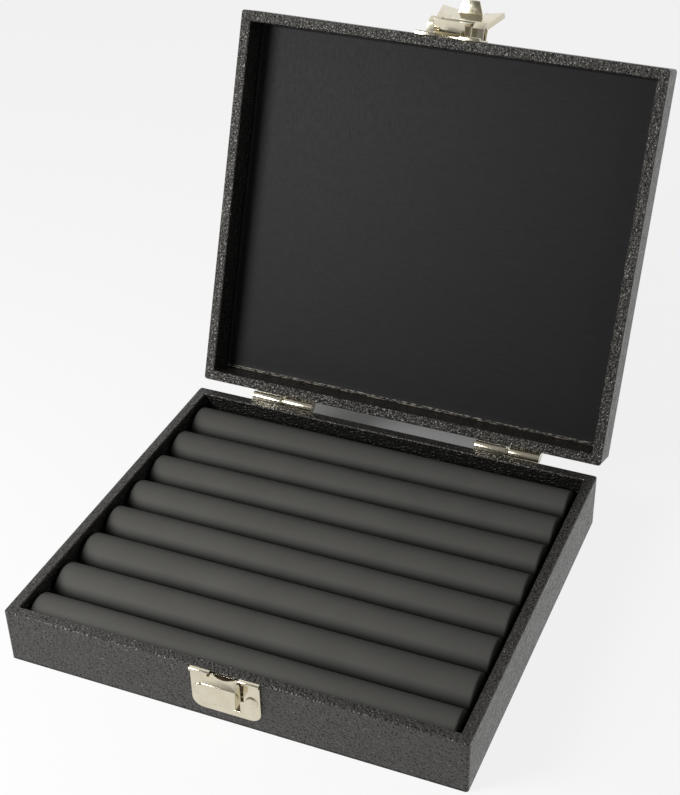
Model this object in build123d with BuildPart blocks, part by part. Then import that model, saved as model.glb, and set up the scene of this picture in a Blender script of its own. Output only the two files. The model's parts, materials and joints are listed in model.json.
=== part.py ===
from build123d import *
from math import cos, radians, sin
import os

# A shallow wrapped box with a hinged lid, eight padded ring rolls and a snap clasp.
# The origin is the centre of the underside, X runs to the right, Y to the rear and Z up.
# The lid is written wide open, as it stands when the rings are on show.

# Box
WIDTH = 209.5
DEPTH = 184.2
BASE_HEIGHT = 27.0
LID_HEIGHT = 17.8
RIM_GAP = 0.8
BOARD = 4.0
SKIN = 0.5
FLOOR_PANEL = 2.5
TOP_PANEL = 1.5
CORNER_ROUND = 1.4
RIM_EASE = 0.4
OPEN_ANGLE = 111.3

# Insert and lining
CARD = 1.2
CARD_ROOM = 0.4
LINING = 0.5
LINING_ROOM = 0.35
LINING_HEM = 1.2
ROLL_COUNT = 8
ROLL_GAP = 0.15
ROLL_LEFT_ROOM = 1.2
ROLL_RIGHT_ROOM = 3.6
ROLL_SEAT = 1.5
ROLL_COVER = 0.6
ROLL_END_ROUND = 2.4

# Sheet metal and nails
SHEET = 0.8
FOLD_ROUND = 0.55
NAIL_SHANK = 1.2
NAIL_LENGTH = 3.4
NAIL_HEAD = 3.2
NAIL_DOME = 0.7
NAIL_SIDES = 12
NAIL_TAPER = 38.0
CLASP_NAIL_HEAD = 5.6
CLASP_NAIL_DOME = 0.9
RUNNING_FIT = 0.05
MOVING_GAP = 0.3

# Hinges
HINGE_INSET = 45.4
HINGE_LENGTH = 32.5
HINGE_SEAM = 0.3
BARREL = 4.6
HINGE_PIN = 2.0
AXIS_BEHIND = 2.75
LEAF_HEIGHT = 9.5
LEAF_SET_BACK = 1.9
NECK_RISE = 3.2
LEAF_NAIL_PITCH = 11.0
LEAF_NAIL_DROP = 5.6
DOG_LENGTH = 2.0
DOG_ANGLE = 110.0
DOG_SLACK = 0.6

# Catch on the base
PLATE_WIDTH = 31.4
PLATE_HEIGHT = 21.5
PLATE_CORNER = 5.0
WINDOW_WIDTH = 16.4
WINDOW_LOW_WIDTH = 12.6
WINDOW_LOW = 3.2
WINDOW_HIGH = 1.8
CATCH_NOTCH = 13.2
HASP_NOTCH = 12.0
LIP_HEIGHT = 2.0
LIP_PROUD = 1.8
LIP_ROUND = 0.7
CLASP_NAIL_SPACING = 23.6
CATCH_NAIL_DROP = 10.9
LEVER_WIDTH = 15.2
LEVER_PROUD = 6.5
LEVER_FLARE = 1.0
LEVER_TOP_DROP = 0.9
LEVER_FALL = 0.7
LEVER_LOW_DROP = 10.9
LEVER_NECK_WIDTH = 12.4
LEVER_NECK_OUT = 2.4
LEVER_PIVOT_DROP = 10.4
HEEL_WIDTH = 7.0
HEEL_DROP = 3.6
LEVER_PIVOT_IN = 0.9
LEVER_PRESS = 6.0
CRESCENT_WIDTH = 10.8
CRESCENT_DEPTH = 2.1
CRESCENT_STRIP = 0.7
LEVER_PIN = 1.4
EAR_REACH = 1.9
MORTISE_DEPTH = 3.0
MORTISE_TOP_DROP = 0.7
MORTISE_ROOM = 0.5
SPRING_SHEET = 0.35
SPRING_WIDTH = 6.0
SPRING_FOOT = 3.0

# Hasp on the lid
HOUSING_WIDTH = 15.2
HOUSING_PROUD = 7.8
HOUSING_RIM = 0.1
HOUSING_TOP = 13.6
HOUSING_BACK = 2.0
HOUSING_BACK_RIM = 2.9
HASP_PLATE_HEIGHT = 17.0
HASP_PLATE_CORNER = 3.5
HASP_NAIL_HEIGHT = 6.2
SHOULDER_IN = 8.1
SHOULDER_OUT = 14.0
SHOULDER_Z = 11.0
SHOULDER_PROUD = 5.8
KNUCKLE = 3.4
HASP_PIN = 1.6
HASP_PIVOT_OUT = 7.2
HASP_PIVOT_Z = 16.0
HASP_SWING = 160.5
FLAP_LENGTH = 20.6
WING_NEAR = 13.0
WING_FAR = 15.7
WING_GAP = 2.2
WING_FLARE = 10.5
WING_FLANGE = 1.9
TONGUE_AT = 16.4
TONGUE_ROOT_WIDTH = 12.4
TONGUE_TIP_WIDTH = 8.6
TONGUE_REACH = 6.6
HOOK_SHEET = 0.6
HOOK_WIDTH = 4.0
HOOK_DROP = 2.6
HOOK_BARB = 0.7

# Values worked out from those above
WALL = BOARD + 2 * SKIN
INNER_WIDTH = WIDTH - 2 * WALL
INNER_DEPTH = DEPTH - 2 * WALL
FRONT = -DEPTH / 2
REAR = DEPTH / 2
LID_RIM = BASE_HEIGHT + RIM_GAP
LID_TOP = LID_RIM + LID_HEIGHT
FLOOR_TOP = SKIN + FLOOR_PANEL
CARD_TOP = FLOOR_TOP + CARD
ROLL_PITCH = INNER_DEPTH / ROLL_COUNT
ROLL_RADIUS = (ROLL_PITCH - ROLL_GAP) / 2
ROLL_Z = CARD_TOP + ROLL_RADIUS - ROLL_SEAT
ROLL_LEFT = -INNER_WIDTH / 2 + ROLL_LEFT_ROOM
ROLL_RIGHT = INNER_WIDTH / 2 - ROLL_RIGHT_ROOM
LEVER_TOP = BASE_HEIGHT - LEVER_TOP_DROP
LEVER_FRONT_LOW = BASE_HEIGHT - LEVER_LOW_DROP
LEVER_PIVOT_Z = BASE_HEIGHT - LEVER_PIVOT_DROP
MORTISE_TOP = BASE_HEIGHT - MORTISE_TOP_DROP
AXIS_Y = REAR + AXIS_BEHIND
AXIS_Z = BASE_HEIGHT + RIM_GAP / 2
HINGE_AXIS = Axis((0, AXIS_Y, AXIS_Z), (1, 0, 0))
HASP_AXIS = Axis((0, FRONT - HASP_PIVOT_OUT, LID_RIM + HASP_PIVOT_Z), (1, 0, 0))

os.makedirs("parts", exist_ok=True)


def save(piece, name):
    """Label one finished piece and write it."""
    piece.part.label = name
    export_step(piece.part, f"parts/{name}.step")


def save_on_lid(piece, name):
    """Swing a piece, made with the lid shut, to the open lid, and write it."""
    piece.part = piece.part.rotate(HINGE_AXIS, -OPEN_ANGLE)
    save(piece, name)


def side_plane(x):
    """The plane across the box at x, with Y to its right and Z up."""
    return Plane.YZ.offset(x)


def board(x_size, y_size, low, high, x=0, y=0):
    """One square cut board that stands from low to high."""
    with BuildPart() as piece:
        with BuildSketch(Plane.XY.offset(low)):
            with Locations((x, y)):
                Rectangle(x_size, y_size)
        extrude(amount=high - low)
    return piece


def nail(points, face_y, outward, head, dome):
    """Tacks with low many sided heads, driven square through a sheet on a face at the points (x, z)."""
    head_y = face_y + outward * SHEET
    with BuildPart() as group:
        with BuildSketch(Plane(origin=(0, head_y, 0), x_dir=(1, 0, 0), z_dir=(0, outward, 0))) as heads:
            with Locations([(x, -outward * z) for x, z in points]):
                RegularPolygon(head / 2, NAIL_SIDES)
        extrude(amount=dome, taper=NAIL_TAPER)
        with BuildSketch(heads.workplanes[0]):
            with Locations([(x, -outward * z) for x, z in points]):
                Rectangle(NAIL_SHANK, NAIL_SHANK)
        extrude(amount=-NAIL_LENGTH)
    return group


def nail_holes(points, low_y, high_y):
    """Cut the nail shanks out of the piece that is being made."""
    with BuildSketch(Plane.XZ.offset(-high_y)) as holes:
        with Locations(points):
            Rectangle(NAIL_SHANK, NAIL_SHANK)
    extrude(holes.sketch, amount=high_y - low_y, mode=Mode.SUBTRACT)


# Nail places, as (x, height) on the front and rear faces
CATCH_NAILS = [(side * CLASP_NAIL_SPACING / 2, BASE_HEIGHT - CATCH_NAIL_DROP) for side in (-1, 1)]
HASP_NAILS = [(side * CLASP_NAIL_SPACING / 2, LID_RIM + HASP_NAIL_HEIGHT) for side in (-1, 1)]
HINGE_CENTRES = [HINGE_INSET - WIDTH / 2, WIDTH / 2 - HINGE_INSET]
LEAF_NAIL_SHIFTS = [-LEAF_NAIL_PITCH, 0, LEAF_NAIL_PITCH]
BASE_LEAF_NAILS = [
    (centre + shift, AXIS_Z - LEAF_NAIL_DROP) for centre in HINGE_CENTRES for shift in LEAF_NAIL_SHIFTS
]
LID_LEAF_NAILS = [(x, 2 * AXIS_Z - z) for x, z in BASE_LEAF_NAILS]

# The mortise behind the catch lever
MORTISE_WIDTH = WINDOW_WIDTH + 2 * SHEET + 2 * MORTISE_ROOM
MORTISE_LOW = BASE_HEIGHT - PLATE_HEIGHT + WINDOW_LOW - MORTISE_ROOM


def cut_mortise():
    """Cut the recess for the catch lever into a front board or skin."""
    with BuildSketch(Plane.XZ.offset(-FRONT - MORTISE_DEPTH)) as recess:
        with Locations((0, (MORTISE_LOW + MORTISE_TOP) / 2)):
            Rectangle(MORTISE_WIDTH, MORTISE_TOP - MORTISE_LOW)
    extrude(recess.sketch, amount=MORTISE_DEPTH, mode=Mode.SUBTRACT)


def wall_frame(prefix, low, high, keep):
    """The four wall boards of one half of the box, with side boards between front and rear."""
    long_size = WIDTH - 2 * SKIN
    side_size = DEPTH - 2 * SKIN - 2 * BOARD
    middle_y = DEPTH / 2 - SKIN - BOARD / 2
    middle_x = WIDTH / 2 - SKIN - BOARD / 2
    lid = prefix == "lid"

    front = board(long_size, BOARD, low, high, y=-middle_y)
    with front:
        if not lid:
            cut_mortise()
        nail_holes(HASP_NAILS if lid else CATCH_NAILS, FRONT, FRONT + NAIL_LENGTH)
    keep(front, f"{prefix}_front_board")

    rear = board(long_size, BOARD, low, high, y=middle_y)
    with rear:
        nail_holes(LID_LEAF_NAILS if lid else BASE_LEAF_NAILS, REAR - NAIL_LENGTH, REAR)
    keep(rear, f"{prefix}_rear_board")

    for side, name in ((-1, "left"), (1, "right")):
        keep(board(BOARD, side_size, low, high, x=side * middle_x), f"{prefix}_{name}_board")


def wrap_skin(outer_low, outer_high, inner_low, inner_high, board_low, board_high):
    """The embossed skin round the outside of the walls, over the rim and down their inside."""
    with BuildPart() as skin:
        with BuildSketch(Plane.XY.offset(outer_low)):
            RectangleRounded(WIDTH, DEPTH, CORNER_ROUND)
        extrude(amount=outer_high - outer_low)
        with BuildSketch(Plane.XY.offset(outer_low)):
            Rectangle(INNER_WIDTH, INNER_DEPTH)
        extrude(amount=outer_high - outer_low, mode=Mode.SUBTRACT)
        with BuildSketch(Plane.XY.offset(board_low)):
            Rectangle(WIDTH - 2 * SKIN, DEPTH - 2 * SKIN)
            Rectangle(INNER_WIDTH + 2 * SKIN, INNER_DEPTH + 2 * SKIN, mode=Mode.SUBTRACT)
        extrude(amount=board_high - board_low, mode=Mode.SUBTRACT)
        with BuildSketch(Plane.XY.offset(inner_low)):
            Rectangle(INNER_WIDTH + 2 * SKIN, INNER_DEPTH + 2 * SKIN)
        extrude(amount=inner_high - inner_low, mode=Mode.SUBTRACT)
    return skin


# Base walls, floor panel and their skins
wall_frame("base", SKIN, BASE_HEIGHT - SKIN, save)

base_floor = board(INNER_WIDTH + 2 * SKIN, INNER_DEPTH + 2 * SKIN, SKIN, FLOOR_TOP)
save(base_floor, "base_floor_panel")

base_skin = wrap_skin(SKIN, BASE_HEIGHT, SKIN, FLOOR_TOP, SKIN, BASE_HEIGHT - SKIN)
with base_skin:
    rim = base_skin.faces().sort_by(Axis.Z)[-1]
    chamfer(rim.edges(), RIM_EASE)
    cut_mortise()
    nail_holes(CATCH_NAILS, FRONT, FRONT + SKIN)
    nail_holes(BASE_LEAF_NAILS, REAR - SKIN, REAR)
save(base_skin, "base_wrap")

with BuildPart() as base_cover:
    with BuildSketch():
        RectangleRounded(WIDTH, DEPTH, CORNER_ROUND)
    extrude(amount=SKIN)
save(base_cover, "base_underside_cover")

# Insert card under the rolls
with BuildPart() as insert_card:
    with BuildSketch(Plane.XY.offset(FLOOR_TOP)):
        Rectangle(INNER_WIDTH - 2 * CARD_ROOM, INNER_DEPTH - 2 * CARD_ROOM)
    extrude(amount=CARD)
save(insert_card, "insert_card")


def roll_core(y):
    """The foam of one ring roll: a cylinder pressed flat where it sits on the card."""
    with BuildPart() as core:
        with BuildSketch(side_plane(ROLL_LEFT + ROLL_END_ROUND)):
            with Locations((y, ROLL_Z)):
                Circle(ROLL_RADIUS - ROLL_COVER)
        extrude(amount=ROLL_RIGHT - ROLL_LEFT - 2 * ROLL_END_ROUND)
        split(bisect_by=Plane.XY.offset(CARD_TOP), keep=Keep.TOP)
    return core


def roll_cover(y, core):
    """The smooth cover of one ring roll, drawn in round both ends and open where it is glued down."""
    rim = ROLL_Z + ROLL_RADIUS
    turned = ROLL_END_ROUND * (1 - cos(radians(45)))
    with BuildPart() as cover:
        with BuildSketch(Plane.XZ.offset(-y)):
            with BuildLine():
                Polyline(
                    (ROLL_LEFT, ROLL_Z),
                    (ROLL_LEFT, rim - ROLL_END_ROUND),
                    (ROLL_LEFT + turned, rim - turned),
                    (ROLL_LEFT + ROLL_END_ROUND, rim),
                    (ROLL_RIGHT - ROLL_END_ROUND, rim),
                    (ROLL_RIGHT - turned, rim - turned),
                    (ROLL_RIGHT, rim - ROLL_END_ROUND),
                    (ROLL_RIGHT, ROLL_Z),
                    close=True,
                )
            make_face()
        revolve(axis=Axis((0, y, ROLL_Z), (1, 0, 0)))
        split(bisect_by=Plane.XY.offset(CARD_TOP), keep=Keep.TOP)
        add(core.part, mode=Mode.SUBTRACT)
    return cover


# Eight ring rolls, each a foam core in a smooth cover glued down on the card
for index in range(ROLL_COUNT):
    row_y = -INNER_DEPTH / 2 + ROLL_PITCH * (index + 0.5)
    core = roll_core(row_y)
    save(core, f"roll_core_{index + 1}")
    save(roll_cover(row_y, core), f"roll_cover_{index + 1}")

# Lid walls, top panel and their skins, made with the lid shut
wall_frame("lid", LID_RIM + SKIN, LID_TOP - SKIN, save_on_lid)

PANEL_UNDER = LID_TOP - SKIN - TOP_PANEL
lid_panel = board(INNER_WIDTH + 2 * SKIN, INNER_DEPTH + 2 * SKIN, PANEL_UNDER, LID_TOP - SKIN)
save_on_lid(lid_panel, "lid_top_panel")

lid_skin = wrap_skin(LID_RIM, LID_TOP - SKIN, PANEL_UNDER, LID_TOP - SKIN, LID_RIM + SKIN, LID_TOP - SKIN)
with lid_skin:
    rim = lid_skin.faces().sort_by(Axis.Z)[0]
    chamfer(rim.edges(), RIM_EASE)
    nail_holes(HASP_NAILS, FRONT, FRONT + SKIN)
    nail_holes(LID_LEAF_NAILS, REAR - SKIN, REAR)
save_on_lid(lid_skin, "lid_wrap")

with BuildPart() as lid_cover:
    with BuildSketch(Plane.XY.offset(LID_TOP - SKIN)):
        RectangleRounded(WIDTH, DEPTH, CORNER_ROUND)
    extrude(amount=SKIN)
    chamfer(lid_cover.faces().sort_by(Axis.Z)[-1].edges(), RIM_EASE)
save_on_lid(lid_cover, "lid_top_cover")

# The satin lining is a stiff card pressed into the lid, its cloth turned down in a low hem
with BuildPart() as lining:
    with BuildSketch(Plane.XY.offset(PANEL_UNDER - LINING)):
        Rectangle(INNER_WIDTH - 2 * LINING_ROOM, INNER_DEPTH - 2 * LINING_ROOM)
    extrude(amount=LINING)
    with BuildSketch(Plane.XY.offset(PANEL_UNDER - LINING - LINING_HEM)):
        Rectangle(INNER_WIDTH - 2 * LINING_ROOM, INNER_DEPTH - 2 * LINING_ROOM)
        offset(amount=-LINING, mode=Mode.SUBTRACT)
    extrude(amount=LINING_HEM)
save_on_lid(lining, "lid_lining")


def sector(start, end, radius):
    """A wedge round the hinge axis from one angle to another, in degrees from the rear upward."""
    middle = (start + end) / 2
    corners = [(AXIS_Y, AXIS_Z)]
    for angle in (start, (start + middle) / 2, middle, (middle + end) / 2, end):
        reach = radius / cos(radians((end - start) / 8))
        corners.append((AXIS_Y + reach * cos(radians(angle)), AXIS_Z + reach * sin(radians(angle))))
    return corners


def knuckle(left, right, dog_left, dog_right, dog_start, dog_end):
    """A rolled hinge knuckle with a stop dog on its inner end, round the pin."""
    with BuildSketch(side_plane(left)) as ring:
        with Locations((AXIS_Y, AXIS_Z)):
            Circle(BARREL / 2)
            Circle(HINGE_PIN / 2 + RUNNING_FIT, mode=Mode.SUBTRACT)
    extrude(ring.sketch, amount=right - left)
    with BuildSketch(side_plane(dog_left)) as dog:
        with BuildLine():
            Polyline(*sector(dog_start, dog_end, BARREL), close=True)
        make_face()
        with Locations((AXIS_Y, AXIS_Z)):
            Circle(BARREL / 2, mode=Mode.INTERSECT)
            Circle(HINGE_PIN / 2 + RUNNING_FIT, mode=Mode.SUBTRACT)
    extrude(dog.sketch, amount=dog_right - dog_left)


def leaf(left, right, upward, knuckle_left, knuckle_right, nails):
    """The flat leaf on the rear face, with a neck that runs into its knuckle."""
    edge = AXIS_Z + upward * (RIM_GAP / 2)
    far = edge + upward * LEAF_HEIGHT
    with BuildSketch(Plane.XZ.offset(-REAR - SHEET)) as flat:
        with Locations(((left + right) / 2, (edge + far + upward * LEAF_SET_BACK) / 2)):
            RectangleRounded(right - left, LEAF_HEIGHT - LEAF_SET_BACK, SHEET)
    extrude(flat.sketch, amount=SHEET)
    with BuildSketch(side_plane(knuckle_left)) as neck:
        with BuildLine():
            Polyline(
                (REAR, edge + upward * NECK_RISE),
                (REAR, AXIS_Z + upward * SHEET),
                (AXIS_Y - BARREL / 2, AXIS_Z),
                (AXIS_Y, AXIS_Z),
                (AXIS_Y, AXIS_Z + upward * BARREL / 2),
                (REAR + SHEET, edge + upward * NECK_RISE),
                close=True,
            )
        make_face()
        with Locations((AXIS_Y, AXIS_Z)):
            Circle(HINGE_PIN / 2 + RUNNING_FIT, mode=Mode.SUBTRACT)
    extrude(neck.sketch, amount=knuckle_right - knuckle_left)
    nail_holes(nails, REAR, REAR + SHEET)


# Two stop hinges: half of each barrel belongs to the base and half to the lid
LEAF_TURN = 180.0
LID_DOG_ANGLE = 360.0 - DOG_ANGLE - OPEN_ANGLE - 2 * DOG_SLACK
BASE_DOG_START = LEAF_TURN - DOG_ANGLE / 4
BASE_DOG_END = BASE_DOG_START + DOG_ANGLE
LID_DOG_START = BASE_DOG_END + DOG_SLACK + OPEN_ANGLE

for side, centre in (("left", HINGE_CENTRES[0]), ("right", HINGE_CENTRES[1])):
    outer_left = centre - HINGE_LENGTH / 2
    outer_right = centre + HINGE_LENGTH / 2
    seam_left = centre - DOG_LENGTH / 2
    seam_right = centre + DOG_LENGTH / 2
    with BuildPart() as base_leaf:
        knuckle(
            outer_left,
            seam_left,
            seam_left,
            seam_right - HINGE_SEAM,
            BASE_DOG_START,
            BASE_DOG_END,
        )
        own_nails = [(x, z) for x, z in BASE_LEAF_NAILS if abs(x - centre) < HINGE_LENGTH]
        leaf(outer_left, outer_right, -1, outer_left, seam_left, own_nails)
    save(base_leaf, f"hinge_{side}_base_leaf")
    with BuildPart() as lid_leaf:
        knuckle(
            seam_right,
            outer_right,
            seam_left + HINGE_SEAM,
            seam_right,
            LID_DOG_START,
            LID_DOG_START + LID_DOG_ANGLE,
        )
        own_nails = [(x, z) for x, z in LID_LEAF_NAILS if abs(x - centre) < HINGE_LENGTH]
        leaf(outer_left, outer_right, 1, seam_right, outer_right, own_nails)
    save_on_lid(lid_leaf, f"hinge_{side}_lid_leaf")
    with BuildPart() as hinge_pin:
        with BuildSketch(side_plane(outer_left)):
            with Locations((AXIS_Y, AXIS_Z)):
                Circle(HINGE_PIN / 2)
        extrude(amount=HINGE_LENGTH)
        chamfer(hinge_pin.edges().filter_by(GeomType.CIRCLE), HINGE_PIN / 8)
    save(hinge_pin, f"hinge_{side}_pin")

save(nail(BASE_LEAF_NAILS, REAR, 1, NAIL_HEAD, NAIL_DOME), "hinge_base_nails")
save_on_lid(nail(LID_LEAF_NAILS, REAR, 1, NAIL_HEAD, NAIL_DOME), "hinge_lid_nails")

# Catch on the base: plate, sprung lever, pin and spring
PLATE_LOW = BASE_HEIGHT - PLATE_HEIGHT
PIVOT_Y = FRONT + LEVER_PIVOT_IN
EAR_HALF = EAR_REACH - LEVER_PIVOT_IN + LEVER_PIN / 2
WINDOW_STEP = LEVER_PIVOT_Z - EAR_HALF


def lips(edge_z, inward, notch):
    """Two folded lips along the rim edge of a clasp plate, one each side of its notch."""
    for side in (-1, 1):
        middle = side * (notch + PLATE_WIDTH) / 4
        length = (PLATE_WIDTH - notch) / 2
        with BuildSketch(side_plane(middle - length / 2)) as fold:
            with Locations((FRONT - LIP_PROUD / 2, edge_z + inward * LIP_HEIGHT / 2)):
                Rectangle(LIP_PROUD, LIP_HEIGHT)
            fillet(fold.vertices().group_by(Axis.X)[0], LIP_ROUND)
        extrude(fold.sketch, amount=length)


with BuildPart() as catch_plate:
    with BuildSketch(Plane.XZ.offset(-FRONT)) as plate_outline:
        with Locations((0, BASE_HEIGHT - PLATE_HEIGHT / 2)):
            Rectangle(PLATE_WIDTH, PLATE_HEIGHT)
        fillet(plate_outline.vertices().group_by(Axis.Y)[0], PLATE_CORNER)
        with Locations((0, (WINDOW_STEP + BASE_HEIGHT - WINDOW_HIGH) / 2)):
            Rectangle(WINDOW_WIDTH, BASE_HEIGHT - WINDOW_HIGH - WINDOW_STEP, mode=Mode.SUBTRACT)
        with Locations((0, (PLATE_LOW + WINDOW_LOW + WINDOW_STEP) / 2)):
            Rectangle(WINDOW_LOW_WIDTH, WINDOW_STEP - PLATE_LOW - WINDOW_LOW, mode=Mode.SUBTRACT)
        with Locations((0, BASE_HEIGHT - WINDOW_HIGH)):
            Rectangle(CATCH_NOTCH, 2 * WINDOW_HIGH, mode=Mode.SUBTRACT)
    extrude(amount=SHEET)
    lips(BASE_HEIGHT, -1, CATCH_NOTCH)
    for ear_left in (-WINDOW_WIDTH / 2 - SHEET, WINDOW_WIDTH / 2):
        with BuildSketch(side_plane(ear_left)):
            with Locations((PIVOT_Y, LEVER_PIVOT_Z)):
                Circle(EAR_HALF)
            with Locations(((FRONT - SHEET + PIVOT_Y) / 2, LEVER_PIVOT_Z)):
                Rectangle(PIVOT_Y - FRONT + SHEET, 2 * EAR_HALF)
            with Locations((PIVOT_Y, LEVER_PIVOT_Z)):
                Circle(LEVER_PIN / 2, mode=Mode.SUBTRACT)
        extrude(amount=SHEET)
    nail_holes(CATCH_NAILS, FRONT - SHEET, FRONT)
save(catch_plate, "catch_plate")

save(nail(CATCH_NAILS, FRONT, -1, CLASP_NAIL_HEAD, CLASP_NAIL_DOME), "catch_nails")

with BuildPart() as catch_pin:
    with BuildSketch(side_plane(-WINDOW_WIDTH / 2 - SHEET)):
        with Locations((PIVOT_Y, LEVER_PIVOT_Z)):
            Circle(LEVER_PIN / 2)
    extrude(amount=WINDOW_WIDTH + 2 * SHEET)
save(catch_pin, "catch_pin")

# The lever is a folded cap with a crescent for the hook, a flared front, two cheeks and a heel
LEVER_BACK = FRONT + SHEET / 2
LEVER_FACE = FRONT - LEVER_PROUD
CHEEK_BACK = FRONT - 2 * SHEET
RIDGE_Z = LEVER_TOP - LEVER_FALL
HEEL_Z = LEVER_FRONT_LOW - HEEL_DROP
LEVER_PROFILE = [
    (LEVER_BACK, LEVER_TOP),
    (LEVER_FACE, RIDGE_Z),
    (LEVER_FACE - LEVER_FLARE, LEVER_FRONT_LOW),
    (CHEEK_BACK, LEVER_FRONT_LOW),
    (PIVOT_Y, LEVER_PIVOT_Z - EAR_HALF),
    (PIVOT_Y, LEVER_PIVOT_Z + EAR_HALF),
    (CHEEK_BACK, LEVER_PIVOT_Z + 2 * EAR_HALF),
    (CHEEK_BACK, RIDGE_Z - 2 * SHEET),
    (LEVER_BACK, LEVER_TOP - SHEET),
]

with BuildPart() as catch_lever:
    with BuildSketch(side_plane(-LEVER_WIDTH / 2)) as cheek:
        with BuildLine():
            Polyline(*LEVER_PROFILE, close=True)
        make_face()
        fillet(cheek.vertices().group_by(Axis.X)[:2], FOLD_ROUND)
        with Locations((PIVOT_Y, LEVER_PIVOT_Z)):
            Circle(EAR_HALF)
            Circle(LEVER_PIN / 2 + RUNNING_FIT, mode=Mode.SUBTRACT)
    extrude(amount=LEVER_WIDTH)
    with BuildSketch(side_plane(-LEVER_WIDTH / 2 + SHEET)):
        with BuildLine():
            Polyline(
                (FRONT + LEVER_PROUD, LEVER_TOP - SHEET),
                (LEVER_BACK, LEVER_TOP - SHEET),
                (LEVER_FACE + SHEET, RIDGE_Z - SHEET),
                (LEVER_FACE - LEVER_FLARE + SHEET, LEVER_FRONT_LOW + SHEET),
                (FRONT + LEVER_PROUD, LEVER_FRONT_LOW + SHEET),
                close=True,
            )
        make_face()
    extrude(amount=LEVER_WIDTH - 2 * SHEET, mode=Mode.SUBTRACT)
    with BuildSketch(side_plane(-LEVER_WIDTH / 2 + SHEET)):
        with Locations((PIVOT_Y, LEVER_FRONT_LOW)):
            Rectangle(2 * (PIVOT_Y - CHEEK_BACK), 4 * SHEET)
    extrude(amount=LEVER_WIDTH - 2 * SHEET, mode=Mode.SUBTRACT)
    for side in (-1, 1):
        with BuildSketch(Plane.XY.offset(RIDGE_Z - SHEET)):
            with Locations((side * (LEVER_NECK_WIDTH + LEVER_WIDTH) / 4, FRONT)):
                Rectangle((LEVER_WIDTH - LEVER_NECK_WIDTH) / 2, 2 * LEVER_NECK_OUT)
        extrude(amount=LEVER_FALL + 2 * SHEET, mode=Mode.SUBTRACT)
    with BuildSketch(side_plane(-HEEL_WIDTH / 2)):
        with Locations((CHEEK_BACK + SHEET / 2, (HEEL_Z + LEVER_FRONT_LOW + SHEET) / 2)):
            Rectangle(SHEET, LEVER_FRONT_LOW + SHEET - HEEL_Z)
        with Locations((CHEEK_BACK - SHEET, LEVER_FRONT_LOW + SHEET / 2)):
            Rectangle(2 * SHEET, SHEET)
    extrude(amount=HEEL_WIDTH)
    chord_y = LEVER_BACK - CRESCENT_STRIP
    bend = ((CRESCENT_WIDTH / 2) ** 2 + CRESCENT_DEPTH**2) / (2 * CRESCENT_DEPTH)
    with BuildSketch(Plane.XY.offset(RIDGE_Z - SHEET)):
        with Locations((0, chord_y + bend - CRESCENT_DEPTH)):
            Circle(bend)
        with Locations((0, chord_y - bend)):
            Rectangle(4 * bend, 2 * bend, mode=Mode.INTERSECT)
    extrude(amount=LEVER_FALL + 2 * SHEET, mode=Mode.SUBTRACT)
save(catch_lever, "catch_lever")

# Leaf spring: a bent strip that stands on the mortise floor and bears on the lever's heel
SPRING_FLOOR = FRONT + MORTISE_DEPTH
HEEL_SWING = (LEVER_PIVOT_Z - HEEL_Z) * sin(radians(LEVER_PRESS))
SPRING_TIP = CHEEK_BACK + SHEET + HEEL_SWING + 2 * RUNNING_FIT
SPRING_ROOT_Z = LEVER_PIVOT_Z - EAR_HALF - RUNNING_FIT
with BuildPart() as catch_spring:
    with BuildSketch(side_plane(-SPRING_WIDTH / 2)):
        with BuildLine():
            Polyline(
                (SPRING_FLOOR, MORTISE_LOW),
                (SPRING_FLOOR, MORTISE_LOW + SPRING_FOOT),
                (SPRING_TIP + SPRING_SHEET, HEEL_Z + SPRING_SHEET),
                (SPRING_TIP + SPRING_SHEET, SPRING_ROOT_Z),
                (SPRING_TIP, SPRING_ROOT_Z),
                (SPRING_TIP, HEEL_Z),
                (SPRING_FLOOR - SPRING_SHEET, MORTISE_LOW + SPRING_FOOT - SPRING_SHEET),
                (SPRING_FLOOR - SPRING_SHEET, MORTISE_LOW),
                close=True,
            )
        make_face()
    extrude(amount=SPRING_WIDTH)
save(catch_spring, "catch_spring")

# Hasp on the lid, made with the lid shut
HASP_Y = FRONT - HASP_PIVOT_OUT
HASP_Z = LID_RIM + HASP_PIVOT_Z

with BuildPart() as hasp_plate:
    with BuildSketch(Plane.XZ.offset(-FRONT)) as plate_outline:
        with Locations((0, LID_RIM + HASP_PLATE_HEIGHT / 2)):
            Rectangle(PLATE_WIDTH, HASP_PLATE_HEIGHT)
        fillet(plate_outline.vertices().group_by(Axis.Y)[-1], HASP_PLATE_CORNER)
        with Locations((0, LID_RIM)):
            Rectangle(HASP_NOTCH, 2 * WINDOW_HIGH, mode=Mode.SUBTRACT)
    extrude(amount=SHEET)
    lips(LID_RIM, 1, HASP_NOTCH)
    for left in (-SHOULDER_OUT, SHOULDER_IN):
        with BuildSketch(side_plane(left)) as shoulder:
            with BuildLine():
                Polyline(
                    (FRONT, LID_RIM + SHOULDER_Z),
                    (FRONT - SHOULDER_PROUD, LID_RIM + SHOULDER_Z),
                    (HASP_Y - KNUCKLE / 2, HASP_Z - KNUCKLE / 4),
                    (HASP_Y - KNUCKLE / 2, HASP_Z),
                    (HASP_Y, HASP_Z + KNUCKLE / 2),
                    (FRONT, LID_RIM + HASP_PLATE_HEIGHT),
                    close=True,
                )
            make_face()
            offset(amount=-SHEET, mode=Mode.SUBTRACT)
            with Locations((HASP_Y, HASP_Z)):
                Circle(KNUCKLE / 2)
                Circle(HASP_PIN / 2, mode=Mode.SUBTRACT)
        extrude(amount=SHOULDER_OUT - SHOULDER_IN)
    nail_holes(HASP_NAILS, FRONT - SHEET, FRONT)
save_on_lid(hasp_plate, "hasp_plate")

save_on_lid(nail(HASP_NAILS, FRONT, -1, CLASP_NAIL_HEAD, CLASP_NAIL_DOME), "hasp_nails")

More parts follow.
